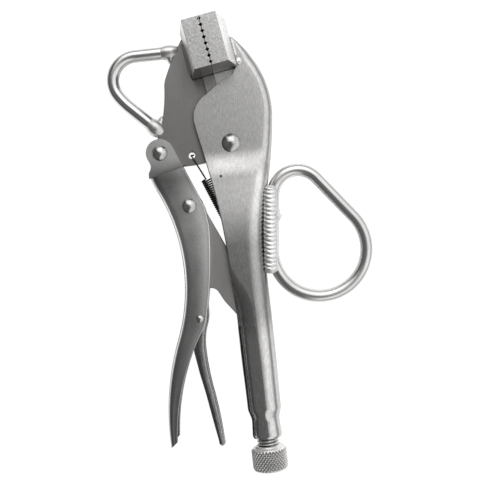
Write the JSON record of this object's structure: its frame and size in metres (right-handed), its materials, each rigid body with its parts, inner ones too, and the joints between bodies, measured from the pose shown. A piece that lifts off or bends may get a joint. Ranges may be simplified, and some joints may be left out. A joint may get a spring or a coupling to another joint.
{
  "type": "locking pliers",
  "caption": "Locking pliers with wide toothed block jaws, a toggle lever with a release lever, a knurled adjusting screw, a welded pull ring and a jaw loop.",
  "frame": {"origin": "middle of the grip between the closed jaw blocks", "axes": "+Y along the adjusting screw from its knob towards the jaws, +X towards the back of the fixed jaw and the pull ring, +Z square to the side the tool lies on"},
  "size_m": [0.1233, 0.2245, 0.05],
  "materials": {
    "satin_sheet": "satin nickel plate over brushed folded sheet",
    "jaw_plate_steel": "darker satin plate, smooth",
    "block_steel": "ground and plated, with an even fine grain",
    "rod_steel": "bright plated round rod",
    "weld_steel": "plated weld bead, rippled",
    "polished_rivet": "polished rivet dome",
    "screw_steel": "plated thread and knurl",
    "spring_wire": "dark oiled spring wire"
  },
  "bodies": {
    "handle_frame": {"fixed_handle": "satin_sheet", "fixed_jaw_tang": "jaw_plate_steel", "fixed_jaw_block": "block_steel", "fixed_block_weld": "weld_steel", "horn_weld": "weld_steel", "main_rivet": "polished_rivet", "pull_ring": "rod_steel", "ring_joint_weld": "weld_steel", "ring_bead_front": "weld_steel", "ring_bead_back": "weld_steel", "return_spring": "spring_wire"},
    "moving_jaw": {"moving_jaw_plate": "jaw_plate_steel", "moving_jaw_block": "block_steel", "moving_block_weld": "weld_steel", "jaw_loop": "rod_steel", "loop_weld_top": "weld_steel", "loop_weld_bottom": "weld_steel", "ear_rivet": "polished_rivet"},
    "hand_lever": {"lever_handle": "satin_sheet", "link_rivet": "polished_rivet", "release_rivet": "polished_rivet"},
    "link": {"toggle_link": "jaw_plate_steel"},
    "release": {"release_lever": "satin_sheet"},
    "screw": {"adjusting_screw": "screw_steel"},
    "knob": {"adjusting_knob": "screw_steel"}
  },
  "joints": [
    {"name": "jaw_pivot", "type": "hinge", "parent": "handle_frame", "child": "moving_jaw", "pos_m": [0.0072, -0.0471, 0], "axis": [0, 0, 1], "range_deg": [0, 16], "deforming": ["return_spring"]},
    {"name": "lever_pivot", "type": "hinge", "parent": "moving_jaw", "child": "hand_lever", "pos_m": [-0.0284, -0.0482, 0], "axis": [0, 0, 1], "range_deg": [-56.2, 0.2]},
    {"name": "link_pivot", "type": "hinge", "parent": "hand_lever", "child": "link", "pos_m": [-0.0167, -0.0758, 0], "axis": [0, 0, 1], "range_deg": [-0.2, 58.6]},
    {"name": "release_pivot", "type": "hinge", "parent": "hand_lever", "child": "release", "pos_m": [-0.0175, -0.1314, 0], "axis": [0, 0, 1], "range_deg": [-12, 0]},
    {"name": "screw_travel", "type": "slide", "parent": "handle_frame", "child": "screw", "axis": [0, -1, 0], "range_m": [0, 0.0151]},
    {"name": "knob_turn", "type": "hinge", "parent": "screw", "child": "knob", "pos_m": [0.0091, -0.205, 0], "axis": [0, -1, 0], "range_deg": [0, 3375]}
  ],
  "couplings": [
    {"joint": "lever_pivot", "follows": "jaw_pivot", "ratio": -3.5},
    {"joint": "link_pivot", "follows": "jaw_pivot", "ratio": 3.65},
    {"joint": "screw_travel", "follows": "knob_turn", "m_per_rad": 0.00025465}
  ]
}
